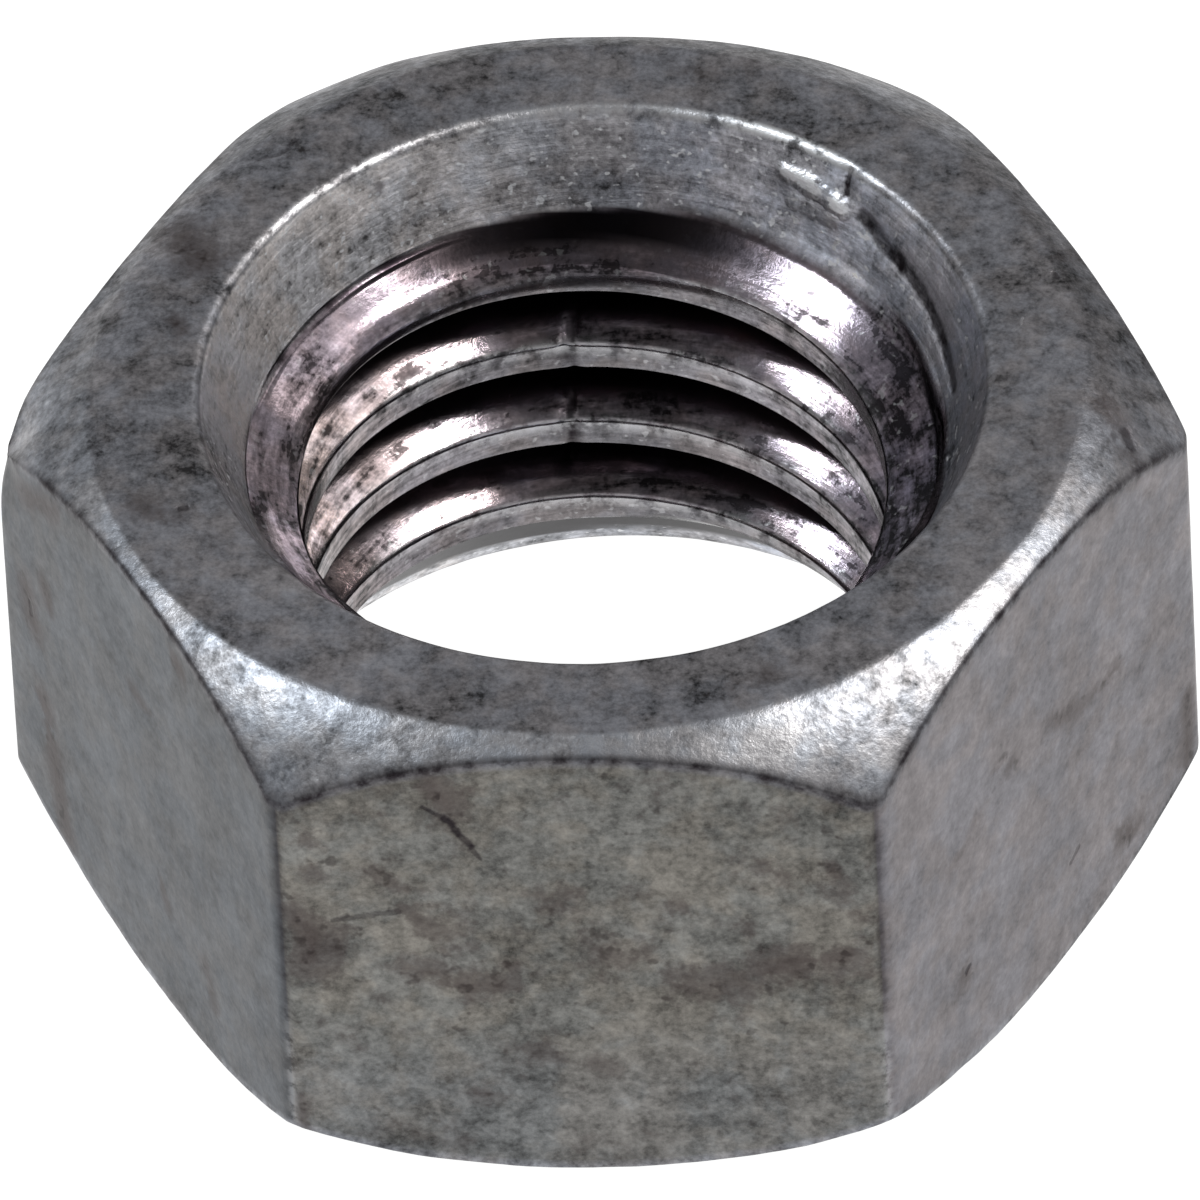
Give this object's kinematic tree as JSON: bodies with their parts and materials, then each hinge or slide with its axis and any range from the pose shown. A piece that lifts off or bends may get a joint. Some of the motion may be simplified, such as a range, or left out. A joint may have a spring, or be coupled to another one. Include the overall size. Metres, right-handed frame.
{
  "type": "hex nut",
  "caption": "Solid steel hexagonal nut, chamfered at both ends, with a right-hand threaded hole that opens into a funnel at each face.",
  "frame": {"origin": "middle of the lower bearing face, on the axis of the thread", "axes": "+Z along the thread from the lower to the upper bearing face; two opposite corners of the hexagon lie on X; two opposite flats face -Y and +Y, and -Y is the front"},
  "size_m": [0.0218, 0.019, 0.0111],
  "materials": {
    "zinc_steel": "dull grey zinc over cold-formed steel, mottled, with brighter rubbed chamfers"
  },
  "bodies": {
    "root": {"hex_nut": "zinc_steel"}
  },
  "joints": []
}
